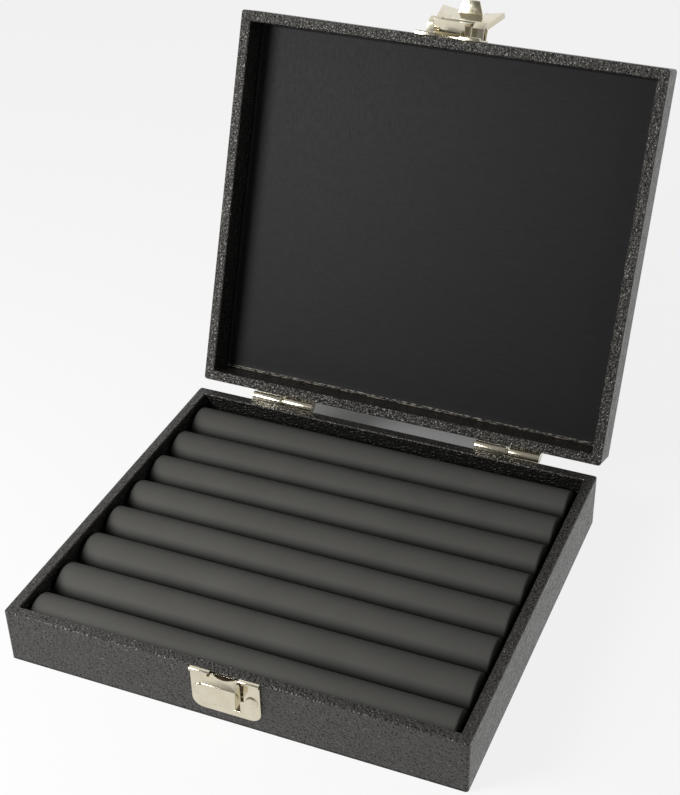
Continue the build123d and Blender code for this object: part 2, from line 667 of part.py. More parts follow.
# Raised cap in the middle of the hasp plate
HOUSING_PROFILE = [
    (FRONT - SHEET, LID_RIM + HOUSING_BACK_RIM + SHEET),
    (FRONT - HOUSING_BACK, LID_RIM + HOUSING_BACK_RIM),
    (FRONT - HOUSING_PROUD, LID_RIM + HOUSING_RIM),
    (FRONT - HOUSING_PROUD, LID_RIM + HOUSING_TOP),
    (FRONT - SHEET, LID_RIM + HOUSING_TOP),
]
with BuildPart() as hasp_housing:
    with BuildSketch(side_plane(-HOUSING_WIDTH / 2)):
        with BuildLine():
            Polyline(*HOUSING_PROFILE, close=True)
        make_face()
    extrude(amount=HOUSING_WIDTH)
    with BuildSketch(side_plane(-HOUSING_WIDTH / 2 + SHEET)):
        with BuildLine():
            Polyline(*HOUSING_PROFILE, close=True)
        make_face()
        offset(amount=-SHEET)
        with Locations((FRONT - SHEET, LID_RIM + (HOUSING_BACK_RIM + HOUSING_TOP) / 2)):
            Rectangle(4 * SHEET, HOUSING_TOP - HOUSING_BACK_RIM - 3 * SHEET)
    extrude(amount=HOUSING_WIDTH - 2 * SHEET, mode=Mode.SUBTRACT)
    fillet(hasp_housing.faces().sort_by(Axis.Y)[0].edges().filter_by(Axis.Z), SHEET / 2)
save_on_lid(hasp_housing, "hasp_housing")

with BuildPart() as hasp_pin:
    with BuildSketch(side_plane(-SHOULDER_OUT)):
        with Locations((HASP_Y, HASP_Z)):
            Circle(HASP_PIN / 2)
    extrude(amount=2 * SHOULDER_OUT)
save_on_lid(hasp_pin, "hasp_pin")

# The flap is made hanging shut, with a bent tongue whose hook drops into the crescent
FLAP_OUT = HASP_Y - KNUCKLE / 2
FLAP_IN = FLAP_OUT + SHEET
FLAP_FOOT = HASP_Z - FLAP_LENGTH
WING_TOP = HASP_Z - KNUCKLE / 2 - WING_GAP
TONGUE_Z = HASP_Z - TONGUE_AT
HINGED_HALF = SHOULDER_IN - MOVING_GAP
HOOK_Y = FLAP_IN + TONGUE_REACH


def wing(side):
    """One flared finger wing of the flap, with a stiffening flange along its outer edge."""
    near = (side * WING_NEAR, WING_TOP)
    far = (side * WING_FAR, FLAP_FOOT)
    root = side * (HINGED_HALF - SHEET)
    with BuildPart() as plate:
        with BuildSketch(Plane.XZ.offset(-FLAP_IN)):
            with BuildLine():
                Polyline((root, WING_TOP), near, far, (root, FLAP_FOOT), close=True)
            make_face()
        extrude(amount=SHEET)
        with BuildSketch(Plane.XZ.offset(-FLAP_IN)):
            with BuildLine():
                Polyline(
                    near,
                    far,
                    (far[0] - side * SHEET, far[1]),
                    (near[0] - side * SHEET, near[1]),
                    close=True,
                )
            make_face()
        extrude(amount=SHEET + WING_FLANGE)
    fold = Axis((side * HINGED_HALF, FLAP_IN, 0), (0, 0, side))
    return plate.part.rotate(fold, WING_FLARE)


with BuildPart() as hasp_flap:
    with BuildSketch(side_plane(-HINGED_HALF)):
        with Locations((HASP_Y, HASP_Z)):
            Circle(KNUCKLE / 2)
        with Locations((HASP_Y - KNUCKLE / 4, HASP_Z - KNUCKLE / 4)):
            Rectangle(KNUCKLE / 2, KNUCKLE / 2)
        with Locations((HASP_Y, HASP_Z)):
            Circle(HASP_PIN / 2 + RUNNING_FIT, mode=Mode.SUBTRACT)
    extrude(amount=2 * HINGED_HALF)
    with BuildSketch(Plane.XZ.offset(-FLAP_IN)):
        with Locations((0, (FLAP_FOOT + HASP_Z - KNUCKLE / 4) / 2)):
            Rectangle(2 * HINGED_HALF, HASP_Z - KNUCKLE / 4 - FLAP_FOOT)
        with Locations((0, (TONGUE_Z + FLAP_FOOT) / 2 - SHEET)):
            Rectangle(TONGUE_ROOT_WIDTH, TONGUE_Z - FLAP_FOOT, mode=Mode.SUBTRACT)
    extrude(amount=SHEET)
    for side in (-1, 1):
        add(wing(side))
    with BuildSketch(Plane.XY.offset(TONGUE_Z - SHEET)):
        with BuildLine():
            Polyline(
                (-TONGUE_ROOT_WIDTH / 2, FLAP_OUT),
                (TONGUE_ROOT_WIDTH / 2, FLAP_OUT),
                (TONGUE_TIP_WIDTH / 2, HOOK_Y),
                (-TONGUE_TIP_WIDTH / 2, HOOK_Y),
                close=True,
            )
        make_face()
    extrude(amount=SHEET)
    with BuildSketch(side_plane(-HOOK_WIDTH / 2)):
        with BuildLine():
            Polyline(
                (HOOK_Y, TONGUE_Z),
                (HOOK_Y, TONGUE_Z - SHEET - HOOK_DROP),
                (HOOK_Y - HOOK_SHEET, TONGUE_Z - SHEET - HOOK_DROP),
                (HOOK_Y - HOOK_SHEET - HOOK_BARB, TONGUE_Z - HOOK_DROP),
                (HOOK_Y - HOOK_SHEET, TONGUE_Z - HOOK_DROP),
                (HOOK_Y - HOOK_SHEET, TONGUE_Z),
                close=True,
            )
        make_face()
    extrude(amount=HOOK_WIDTH)
hasp_flap.part = hasp_flap.part.rotate(HASP_AXIS, -HASP_SWING)
save_on_lid(hasp_flap, "hasp_flap")
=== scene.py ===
import json
import math

import bmesh
import bpy
from mathutils import Matrix, Vector, noise


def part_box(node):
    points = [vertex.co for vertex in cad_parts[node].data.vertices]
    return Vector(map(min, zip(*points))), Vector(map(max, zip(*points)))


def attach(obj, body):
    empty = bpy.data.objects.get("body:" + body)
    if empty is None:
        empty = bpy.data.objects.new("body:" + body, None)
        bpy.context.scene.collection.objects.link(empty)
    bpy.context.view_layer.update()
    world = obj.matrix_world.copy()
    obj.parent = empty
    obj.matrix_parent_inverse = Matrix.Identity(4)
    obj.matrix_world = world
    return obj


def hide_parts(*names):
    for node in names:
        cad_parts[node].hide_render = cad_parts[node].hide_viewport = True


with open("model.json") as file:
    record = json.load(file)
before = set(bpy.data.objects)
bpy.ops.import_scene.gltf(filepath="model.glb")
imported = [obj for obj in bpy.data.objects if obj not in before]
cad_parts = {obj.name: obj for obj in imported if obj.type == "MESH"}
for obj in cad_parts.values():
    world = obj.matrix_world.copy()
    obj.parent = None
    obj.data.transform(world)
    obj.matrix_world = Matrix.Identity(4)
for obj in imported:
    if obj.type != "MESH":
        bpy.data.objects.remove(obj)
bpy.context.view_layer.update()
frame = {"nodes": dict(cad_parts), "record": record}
nodes = frame["nodes"]

MM = 0.001

# The photograph's camera, in metres, with its frame of 680 by 795 pixels
PHOTO_WIDTH = 680
PHOTO_HEIGHT = 795
CAMERA_PLACE = Vector((0.22928, -0.49141, 0.47020))
CAMERA_RIGHT = Vector((0.92694, 0.37509, -0.00901))
CAMERA_DOWN = Vector((0.21385, -0.54790, -0.80875))
CAMERA_FORWARD = Vector((-0.30829, 0.74774, -0.58808))
FOCAL_PIXELS = 1557.7
CENTRE_PIXEL = (369.9, 450.5)
SENSOR = 36.0


def add_camera():
    """The camera that sees the box from the photograph's place."""
    data = bpy.data.cameras.new("camera")
    data.sensor_fit = "AUTO"
    data.sensor_width = SENSOR
    data.lens = FOCAL_PIXELS * SENSOR / PHOTO_HEIGHT
    data.shift_x = (PHOTO_WIDTH / 2 - CENTRE_PIXEL[0]) / PHOTO_HEIGHT
    data.shift_y = (CENTRE_PIXEL[1] - PHOTO_HEIGHT / 2) / PHOTO_HEIGHT
    data.clip_start = 0.01
    camera = bpy.data.objects.new("camera", data)
    bpy.context.scene.collection.objects.link(camera)
    turn = Matrix((CAMERA_RIGHT, -CAMERA_DOWN, -CAMERA_FORWARD)).transposed()
    camera.matrix_world = Matrix.Translation(CAMERA_PLACE) @ turn.to_4x4()
    bpy.context.scene.camera = camera


class Tree:
    """Short calls that build a node tree. Texture scales are in repeats per metre."""

    def __init__(self, tree, coordinates):
        self.tree = tree
        self.place = self.new("TexCoord").outputs[coordinates]

    def feed(self, socket, value):
        """Link another node's output to a socket, or set a plain value on it."""
        if isinstance(value, bpy.types.NodeSocket):
            self.tree.links.new(value, socket)
        else:
            socket.default_value = value

    def fill(self, node, values):
        """Feed a node's inputs by their names."""
        for key, value in values.items():
            self.feed(node.inputs[key.replace("_", " ")], value)

    def new(self, kind, **values):
        """A new node with its inputs filled."""
        node = self.tree.nodes.new(f"ShaderNode{kind}")
        self.fill(node, values)
        return node

    def step(self, kind, operation, values):
        """One step of arithmetic by a kind of node."""
        node = self.new(kind)
        node.operation = operation
        for socket, value in zip(node.inputs, values):
            self.feed(socket, value)
        return node

    def math(self, operation, *values):
        """Arithmetic on numbers."""
        return self.step("Math", operation, values).outputs["Value"]

    def vector_math(self, operation, *values):
        """Arithmetic on places or colours."""
        return self.step("VectorMath", operation, values).outputs["Vector"]

    def axis(self, name):
        """One coordinate of the place."""
        return self.new("SeparateXYZ", Vector=self.place).outputs[name]


class Material(Tree):
    """Short calls that build one material, in the object's own coordinates."""

    def __init__(self, name):
        self.material = bpy.data.materials.new(name)
        self.material.use_nodes = True
        super().__init__(self.material.node_tree, "Object")
        self.shader = self.tree.nodes["Principled BSDF"]
        self.output = self.tree.nodes["Material Output"]

    def set(self, **values):
        """Feed the shader's inputs, and give back the material."""
        self.fill(self.shader, values)
        return self.material

    def noise(self, scale, detail=2.0, rough=0.5, warp=0.0, vector=None):
        """Soft noise from 0 to 1."""
        place = vector or self.place
        values = {"Scale": scale, "Detail": detail, "Roughness": rough, "Distortion": warp}
        return self.new("TexNoise", Vector=place, **values).outputs["Fac"]

    def streaks(self, scales, detail=2.0, rough=0.5):
        """Noise with its own scale along each axis, for threads and rolling lines."""
        mapped = self.new("Mapping", Vector=self.place, Scale=scales).outputs["Vector"]
        return self.noise(1.0, detail, rough, 0.0, mapped)

    def voronoi(self, scale, feature="F1", vector=None, **values):
        """Distances in a pattern of cells."""
        node = self.new("TexVoronoi", Vector=vector or self.place, Scale=scale)
        node.feature = feature
        self.fill(node, values)
        return node.outputs["Distance"]

    def warped(self, amount, scale):
        """The place pushed about by a noise, for cells with crinkled outlines."""
        wobble = self.new("TexNoise", Vector=self.place, Scale=scale, Detail=2.0)
        amounts = (amount, amount, amount)
        return self.vector_math("MULTIPLY_ADD", wobble.outputs["Color"], amounts, self.place)

    def ramp(self, value, *stops):
        """Grey levels or colours by a value, from pairs of a position and a level or colour."""
        node = self.new("ValToRGB", Fac=value)
        elements = node.color_ramp.elements
        while len(elements) < len(stops):
            elements.new(0.5)
        for element, (position, shade) in zip(elements, stops):
            element.position = position
            element.color = (*shade, 1) if isinstance(shade, tuple) else (shade, shade, shade, 1)
        return node.outputs["Color"]

    def by_length(self, length, full, *stops):
        """A ramp over a length up to the full one, from pairs of a length and a level."""
        share = self.math("MULTIPLY", length, 1 / full)
        return self.ramp(share, *((stop / full, level) for stop, level in stops))

    def weighted(self, *terms):
        """The sum of values, each times its weight."""
        total = None
        for value, weight in terms:
            part = value if weight == 1 else self.math("MULTIPLY", value, weight)
            total = part if total is None else self.math("ADD", total, part)
        return total

    def within(self, reach):
        """1 inside a box centred on the origin, given by its reach along each axis, else 0."""
        inside = None
        for name, limit in zip("XYZ", reach):
            near = self.math("LESS_THAN", self.math("ABSOLUTE", self.axis(name)), limit)
            inside = near if inside is None else self.math("MULTIPLY", inside, near)
        return inside

    def bump(self, height, strength, distance):
        """A normal that follows a height."""
        values = {"Strength": strength, "Distance": distance}
        return self.new("Bump", Height=height, **values).outputs["Normal"]


# The inside of the tray, as a reach from the origin, and how much painted shade darkens it
TRAY_REACH = (98.5 * MM, 87.7 * MM, 26.2 * MM)
TRAY_PAINTED_SHADE = 0.6
# Painted shade that darkens the skin where it turns under the base: heights and levels
UNDERSIDE_SHADE_STOPS = ((0.5 * MM, 0.1), (1.25 * MM, 1.0))
UNDERSIDE_SHADE_HEIGHT = 2.5 * MM
# Painted shade that darkens the rolls down in the slots between them: heights and levels
PAINTED_SLOT_SHADE = ((16.8 * MM, 0.10), (19.0 * MM, 0.37), (21.8 * MM, 1.0))
PAINTED_SLOT_SHADE_FULL = 40 * MM
# On the open lid, only the fold along the lining's lower edge, which carries the painted
# highlight, lies below this height
LOW_FOLD_TOP = 30.36 * MM


def leatherette():
    """Coarse crinkled grain embossed in a thin black plastic skin."""
    m = Material("embossed_leatherette")
    crinkled = m.warped(0.0007, 900.0)
    cells = m.voronoi(760.0, "SMOOTH_F1", crinkled, Smoothness=0.3)
    creases = m.voronoi(560.0, "DISTANCE_TO_EDGE", crinkled)
    wrinkles = m.noise(560.0, 3.0, 0.6, 0.4)
    fine = m.noise(2300.0, 3.0, 0.6)
    crease_cut = m.ramp(creases, (0.0, 0.0), (0.2, 1.0))
    height = m.weighted((cells, 0.9), (crease_cut, 0.5), (wrinkles, 0.6), (fine, 0.16))
    # Painted crease shade: the hollows of the grain are darker and reflect less than the ridges
    # between them
    pit_shade = m.ramp(cells, (0.12, 0.0), (0.42, 1.0))
    tone = m.weighted((pit_shade, 0.6), (wrinkles, 0.3), (m.noise(22.0, 3.0), 0.15))
    # Painted shade: inside the tray the skin is darker and reflects less than on the rim
    painted_shade = m.math("SUBTRACT", 1.0, m.math("MULTIPLY", m.within(TRAY_REACH), TRAY_PAINTED_SHADE))
    # Painted shade along the lowest millimetres, where the skin turns under the base
    underside_shade = m.by_length(m.axis("Z"), UNDERSIDE_SHADE_HEIGHT, *UNDERSIDE_SHADE_STOPS)
    painted_shade = m.math("MULTIPLY", painted_shade, underside_shade)
    skin = m.ramp(tone, (0.3, (0.005, 0.0048, 0.0046)), (0.8, (0.026, 0.0252, 0.0236)))
    gloss = m.ramp(tone, (0.3, (0.2, 0.19, 0.175)), (0.75, (1.0, 0.955, 0.89)))
    return m.set(
        Base_Color=m.vector_math("MULTIPLY", skin, painted_shade),
        Specular_Tint=m.vector_math("MULTIPLY", gloss, painted_shade),
        Specular_IOR_Level=0.58,
        Roughness=m.ramp(m.noise(300.0, 2.0), (0.3, 0.27), (0.7, 0.37)),
        Normal=m.bump(height, 1.0, 0.0004),
    )


def roll_vinyl():
    """Smooth matte charcoal skin with a very fine grain, with painted shade down in the slots."""
    m = Material("roll_vinyl")
    fine = m.noise(3600.0, 3.0, 0.6)
    soft = m.noise(120.0, 2.0)
    mottle = m.weighted((m.noise(45.0, 3.0), 0.6), (fine, 0.4))
    skin = m.ramp(mottle, (0.25, (0.086, 0.0845, 0.078)), (0.75, (0.105, 0.1035, 0.096)))
    # Painted shade: darker down in the slots between the rolls
    slot = m.by_length(m.axis("Z"), PAINTED_SLOT_SHADE_FULL, *PAINTED_SLOT_SHADE)
    return m.set(
        Base_Color=m.vector_math("MULTIPLY", skin, slot),
        Specular_IOR_Level=0.06,
        Roughness=m.ramp(m.noise(500.0, 2.0), (0.3, 0.64), (0.7, 0.74)),
        Normal=m.bump(m.weighted((fine, 0.5), (soft, 1)), 0.3, 0.0002),
    )


def lining_satin():
    """Dark satin with very fine threads across the lid, with a painted highlight in pale dashes
    along its lower fold.
    """
    m = Material("lining_satin")
    weave = m.streaks((120.0, 5200.0, 5200.0), 2.0, 0.6)
    weft = m.streaks((4200.0, 300.0, 300.0))
    cloth = m.ramp(weave, (0.3, (0.008, 0.008, 0.0083)), (0.7, (0.015, 0.0147, 0.015)))
    # The painted highlight on the fold comes in ragged dashes
    ragged = m.ramp(m.streaks((420.0, 1100.0, 1100.0), 3.0, 0.6), (0.46, 0.0), (0.57, 1.0))
    low_fold = m.math("LESS_THAN", m.axis("Z"), LOW_FOLD_TOP)
    painted_fold_highlight = m.math("MULTIPLY", low_fold, ragged)
    pale = m.ramp(painted_fold_highlight, (0.0, (0.0, 0.0, 0.0)), (1.0, (0.22, 0.205, 0.175)))
    return m.set(
        Base_Color=m.vector_math("ADD", cloth, pale),
        Specular_IOR_Level=0.16,
        Roughness=m.ramp(weft, (0.3, 0.50), (0.7, 0.60)),
        Normal=m.bump(m.weighted((weave, 1), (weft, 0.5)), 0.35, 0.00008),
    )


def nickel():
    """Bright nickel plate with faint rolling lines, dull patches and a warm cast."""
    m = Material("nickel_plate")
    cast = m.weighted((m.noise(150.0, 2.0), 0.7), (m.noise(1500.0, 2.0), 0.3))
    lines = m.streaks((500.0, 9000.0, 9000.0))
    return m.set(
        Base_Color=m.ramp(cast, (0.3, (0.62, 0.565, 0.43)), (0.7, (0.71, 0.665, 0.535))),
        Metallic=1.0,
        Roughness=m.ramp(m.noise(420.0, 3.0), (0.3, 0.12), (0.75, 0.21)),
        Normal=m.bump(lines, 0.12, 0.00003),
    )


def fibreboard():
    """Cut edge and face of pressed wood fibre."""
    m = Material("fibreboard")
    fibres = m.noise(900.0, 4.0, 0.7, 1.0)
    return m.set(
        Base_Color=m.ramp(fibres, (0.2, (0.24, 0.17, 0.10)), (0.8, (0.42, 0.32, 0.21))),
        Roughness=0.85,
        Normal=m.bump(fibres, 0.4, 0.0002),
    )


def underside_paper():
    """Black paper with a soft pebbled face."""
    m = Material("underside_paper")
    pebble = m.voronoi(900.0, "SMOOTH_F1", m.warped(0.0006, 1200.0), Smoothness=0.5)
    pulp = m.noise(60.0, 3.0)
    return m.set(
        Base_Color=m.ramp(pulp, (0.2, (0.018, 0.018, 0.018)), (0.8, (0.034, 0.033, 0.032))),
        Roughness=0.75,
        Normal=m.bump(pebble, 0.5, 0.0002),
    )


def grey_card():
    """Grey card with a fine pulp."""
    m = Material("grey_card")
    pulp = m.noise(700.0, 4.0, 0.7)
    return m.set(
        Base_Color=m.ramp(pulp, (0.2, (0.16, 0.155, 0.14)), (0.8, (0.27, 0.26, 0.24))),
        Roughness=0.9,
        Normal=m.bump(pulp, 0.3, 0.0001),
    )


def foam():
    """Dark foam with open bubbles."""
    m = Material("foam")
    bubbles = m.voronoi(1400.0)
    return m.set(
        Base_Color=m.ramp(bubbles, (0.0, (0.05, 0.05, 0.05)), (0.6, (0.19, 0.19, 0.19))),
        Roughness=0.95,
        Normal=m.bump(bubbles, 0.6, 0.0003),
    )


def spring_steel():
    """Grey spring steel with rolling lines along the leaf."""
    m = Material("spring_steel")
    lines = m.streaks((9000.0, 500.0, 500.0))
    return m.set(
        Base_Color=m.ramp(lines, (0.3, (0.42, 0.41, 0.40)), (0.7, (0.52, 0.51, 0.50))),
        Metallic=1.0,
        Roughness=0.3,
        Normal=m.bump(lines, 0.2, 0.00003),
    )


# One material for each slot of the record
FINISH = {
    "leatherette": leatherette(),
    "roll_vinyl": roll_vinyl(),
    "lining_satin": lining_satin(),
    "nickel": nickel(),
    "fibreboard": fibreboard(),
    "base_paper": underside_paper(),
    "card": grey_card(),
    "foam": foam(),
    "spring_steel": spring_steel(),
}
SLOT_OF = {entry["node"]: entry["material_slot"] for entry in frame["record"]["subparts"]}

for name, piece in nodes.items():
    for slot in piece.material_slots:
        slot.material = FINISH[SLOT_OF[name]]


def add_mesh(name, vertices, faces, slot_name):
    """A new smooth mesh piece with its material."""
    mesh = bpy.data.meshes.new(name)
    mesh.from_pydata([tuple(v) for v in vertices], [], faces)
    mesh.validate()
    mesh.update()
    mesh.shade_smooth()
    piece = bpy.data.objects.new(name, mesh)
    bpy.context.scene.collection.objects.link(piece)
    piece.data.materials.append(FINISH[slot_name])
    return piece


def band(start, rows, count, flipped=False):
    """The faces between closed rows of points, listed row after row from a start index."""
    faces = []
    for row in range(rows - 1):
        for step in range(count):
            a = start + row * count + step
            b = start + row * count + (step + 1) % count
            if flipped:
                faces.append((a, a + count, b + count, b))
            else:
                faces.append((a, b, b + count, a + count))
    return faces


def fan(hub, start, count, flipped=False):
    """The triangles between a hub and a closed row of points from a start index."""
    faces = []
    for step in range(count):
        a, b = start + step, start + (step + 1) % count
        faces.append((hub, b, a) if flipped else (hub, a, b))
    return faces


WELD_DISTANCE = 1e-6


def welded(mesh):
    """A mesh opened for work, with its doubled points merged."""
    work = bmesh.new()
    work.from_mesh(mesh)
    bmesh.ops.remove_doubles(work, verts=work.verts, dist=WELD_DISTANCE)
    return work


# Stamped sheet metal: facets closer than FLAT become one face, corners over CORNER get rounded
FLAT = math.radians(4)
CORNER = math.radians(28)
STAMPED_EDGE = 0.18 * MM
STAMPED_SEGMENTS = 3
SHADING_BREAK = math.radians(40)
SHEET_METAL = {
    "base": ["catch_plate", "hinge_left_base_leaf", "hinge_right_base_leaf"],
    "lid": ["hasp_plate", "hasp_housing", "hinge_left_lid_leaf", "hinge_right_lid_leaf"],
    "hasp": ["hasp_flap"],
    "lever": ["catch_lever"],
}


def applied(piece):
    """Apply every modifier of a piece to its mesh."""
    graph = bpy.context.evaluated_depsgraph_get()
    mesh = bpy.data.meshes.new_from_object(piece.evaluated_get(graph))
    piece.modifiers.clear()
    piece.data = mesh


def stamped(node, body):
    """A copy of a sheet metal node with its sharp edges rounded as stamping leaves them."""
    mesh = nodes[node].data.copy()
    work = welded(mesh)
    bmesh.ops.dissolve_limit(work, angle_limit=FLAT, verts=work.verts, edges=work.edges)
    work.to_mesh(mesh)
    work.free()
    piece = bpy.data.objects.new(f"{node}_stamped", mesh)
    bpy.context.scene.collection.objects.link(piece)
    bevel = piece.modifiers.new("edge", "BEVEL")
    bevel.width = STAMPED_EDGE
    bevel.segments = STAMPED_SEGMENTS
    bevel.limit_method = "ANGLE"
    bevel.angle_limit = CORNER
    bevel.use_clamp_overlap = True
    applied(piece)
    piece.data.shade_smooth()
    piece.data.set_sharp_from_angle(angle=SHADING_BREAK)
    piece.data.materials.clear()
    piece.data.materials.append(FINISH[SLOT_OF[node]])
    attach(piece, body)
    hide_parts(node)


for body, names in SHEET_METAL.items():
    for name in names:
        stamped(name, body)


# Ring rolls: foam cylinders under a smooth skin, a little uneven from hand packing
ROLL_COUNT = 8
ROLL_RINGS = 96
ROLL_SIDES = 64
ROLL_END = 1.5 * MM
ROLL_END_RINGS = 9
# The soft lumps of a roll: their share of the radius, how fast they change along and
# around it, and the step in the noise from one roll to the next
LUMP_SHARE = 0.006
LUMPS_ALONG = 28
LUMPS_AROUND = 1.3
LUMP_STEP = 7
# How far each edge between two rolls wanders from even spacing, at its left and right end
EDGE_SHIFT_LEFT = [0, -0.5, -0.2, 0.5, -0.2, -0.4, -0.9, -0.5, 0]
EDGE_SHIFT_RIGHT = [0, -0.6, 0.2, 0.6, 0.3, 0.9, 0.6, 0.7, 0]


def between(a, b, share):
    """A value part of the way from a to b."""
    return a + (b - a) * share


def roll_stations(low, high, radius):
    """Places along a roll, each with its share of the full radius."""
    drawn_in = []
    for step in range(ROLL_END_RINGS):
        turn = math.pi / 2 * (1 - step / ROLL_END_RINGS)
        x = low + ROLL_END * (1 - math.sin(turn))
        drawn_in.append((x, 1 - ROLL_END / radius * (1 - math.cos(turn))))
    body_steps = ROLL_RINGS - 2 * ROLL_END_RINGS
    body = [
        (between(low + ROLL_END, high - ROLL_END, step / body_steps), 1.0)
        for step in range(body_steps + 1)
    ]
    mirrored = [(low + high - x, size) for x, size in reversed(drawn_in)]
    return drawn_in + body + mirrored


def ring_roll(index):
    """One roll as a lofted skin with drawn in ends, flat where it sits on the card."""
    low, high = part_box(f"roll_cover_{index + 1}")
    low, high = Vector(low), Vector(high)
    middle_y = (low.y + high.y) / 2
    radius = (high.y - low.y) / 2
    middle_z = high.z - radius
    stations = roll_stations(low.x, high.x, radius)
    points = []
    for x, size in stations:
        share = (x - low.x) / (high.x - low.x)
        front, back = (
            between(EDGE_SHIFT_LEFT[edge], EDGE_SHIFT_RIGHT[edge], share) * MM
            for edge in (index, index + 1)
        )
        centre = middle_y + (front + back) / 2
        half = radius + (back - front) / 2
        for side in range(ROLL_SIDES):
            angle = 2 * math.pi * side / ROLL_SIDES
            lump = noise.noise(Vector((
                x * LUMPS_ALONG,
                math.cos(angle) * LUMPS_AROUND + index * LUMP_STEP,
                math.sin(angle) * LUMPS_AROUND,
            )))
            swell = 1 + LUMP_SHARE * lump
            y = centre + half * size * math.cos(angle)
            z = middle_z + radius * size * swell * math.sin(angle)
            points.append((x, y, max(z, low.z)))
    faces = band(0, len(stations), ROLL_SIDES, flipped=True)
    for start, flipped in ((0, False), ((len(stations) - 1) * ROLL_SIDES, True)):
        ring = points[start:start + ROLL_SIDES]
        hub = len(points)
        points.append(sum((Vector(point) for point in ring), Vector()) / ROLL_SIDES)
        faces += fan(hub, start, ROLL_SIDES, flipped)
    piece = add_mesh(f"ring_roll_{index + 1}", points, faces, "roll_vinyl")
    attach(piece, "base")
    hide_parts(f"roll_cover_{index + 1}", f"roll_core_{index + 1}")


for index in range(ROLL_COUNT):
    ring_roll(index)


# Satin lining: a cloth covered card pressed into the lid, its cloth turned down in a low hem.
# Its measures are in millimetres on the shut lid
LID_AXIS = Vector((0, 94.85, 27.4)) * MM
LID_TURN = Matrix.Rotation(-math.radians(111.3), 3, "X")
LINING_HALF = (99.4, 86.75)
LINING_FACE = 43.02
LINING_BACK = 43.55
LINING_STEPS = (70, 62)
# The hem's lowest point and its width, the rise of its fold, and the rounding into the face
HEM_LOW = 41.95
HEM_IN = 0.62
HEM_RISE = 0.25
FACE_ROUNDING = (0.6, 0.3)
# How far the face sags towards the opening, how far from the hem that builds up, and its waves
CROWN = 0.22
CROWN_EDGE = 14.0
WAVE = 0.05
WAVE_LENGTHS = (30, 22)


def on_open_lid(x, y, z):
    """A point in millimetres on the shut lid, moved to the open lid, in metres."""
    return LID_AXIS + LID_TURN @ (Vector((x, y, z)) * MM - LID_AXIS)


def lining_profile():
    """The hem from its back edge round its fold and into the face: ways in, and heights."""
    fold = HEM_LOW + HEM_RISE
    face = LINING_FACE - FACE_ROUNDING[1]
    profile = [(0.0, LINING_BACK), (0.0, fold)]
    for turn in map(math.radians, (30, 60, 90, 120, 150)):
        way_in = HEM_IN / 2 - HEM_IN / 2 * math.cos(turn)
        profile.append((way_in, fold - HEM_RISE * math.sin(turn)))
    profile += [(HEM_IN, fold), (HEM_IN, face)]
    for turn in map(math.radians, (30, 60, 90)):
        way_in = HEM_IN + FACE_ROUNDING[0] - FACE_ROUNDING[0] * math.cos(turn)
        profile.append((way_in, face + FACE_ROUNDING[1] * math.sin(turn)))
    return profile


def rectangle(half_x, half_y, count_x, count_y):
    """Points round a rectangle, with a fixed number on each side."""
    points = [(-half_x + 2 * half_x * step / count_x, -half_y) for step in range(count_x)]
    points += [(half_x, -half_y + 2 * half_y * step / count_y) for step in range(count_y)]
    points += [(half_x - 2 * half_x * step / count_x, half_y) for step in range(count_x)]
    points += [(-half_x, half_y - 2 * half_y * step / count_y) for step in range(count_y)]
    return points


def lining():
    """The satin sheet: its hem and fold, and its face as a grid that joins the hem's rim."""
    profile = lining_profile()
    across, along = LINING_STEPS
    around = 2 * (across + along)
    vertices = []
    for way_in, height in profile:
        half_x, half_y = LINING_HALF[0] - way_in, LINING_HALF[1] - way_in
        for x, y in rectangle(half_x, half_y, across, along):
            vertices.append(on_open_lid(x, y, height))
    faces = band(0, len(profile), around)
    # The face fills the last row, whose points are the edge of its grid
    rim = (len(profile) - 1) * around
    index_of = {}
    for row in range(along + 1):
        for column in range(across + 1):
            if row == 0:
                index_of[row, column] = rim + column
            elif column == across:
                index_of[row, column] = rim + across + row
            elif row == along:
                index_of[row, column] = rim + across + along + (across - column)
            elif column == 0:
                index_of[row, column] = rim + 2 * across + along + (along - row)
            else:
                x = -half_x + 2 * half_x * column / across
                y = -half_y + 2 * half_y * row / along
                edge = min(half_x - abs(x), half_y - abs(y))
                wave = noise.noise(Vector((x / WAVE_LENGTHS[0], y / WAVE_LENGTHS[1], 2.0)))
                crown = CROWN * min(1.0, edge / CROWN_EDGE) + WAVE * wave
                index_of[row, column] = len(vertices)
                vertices.append(on_open_lid(x, y, LINING_FACE - crown))
    for row in range(along):
        for column in range(across):
            corners = ((row, column), (row, column + 1), (row + 1, column + 1), (row + 1, column))
            faces.append(tuple(index_of[corner] for corner in corners))
    piece = add_mesh("satin_lining", vertices, faces, "lining_satin")
    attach(piece, "lid")
    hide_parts("lid_lining")


lining()


# Nails with low smooth domes
NAIL_SIDES = 40
# The dome from its rolled edge up, as shares of the head's radius and height. Over DOME_SPRING
# it is a quarter of an ellipse, given by angles from its top
DOME_EDGE = ((0.97, 0.0), (1.0, 0.10), (0.985, 0.22))
DOME_SPRING = 0.22
DOME_ANGLES = (72, 60, 48, 36, 24, 12)
# The head is what lies in the outer part of a nail, and its seat is found near its rim
HEAD_FROM = 0.7
SEAT_FROM = 0.9
FRONT_OUT = Vector((0, -1, 0))
REAR_OUT = Vector((0, 1, 0))


def loose_parts(node):
    """The points of each separate nail of a node."""
    work = welded(nodes[node].data)
    parts = []
    reached = set()
    for first in work.verts:
        if first in reached:
            continue
        reached.add(first)
        part = []
        queue = [first]
        while queue:
            vertex = queue.pop()
            part.append(vertex.co.copy())
            for edge in vertex.link_edges:
                other = edge.other_vert(vertex)
                if other not in reached:
                    reached.add(other)
                    queue.append(other)
        parts.append(part)
    work.free()
    return parts


def middle_and_half(values):
    """The middle of a list of values, and half their spread."""
    low, high = min(values), max(values)
    return (low + high) / 2, (high - low) / 2


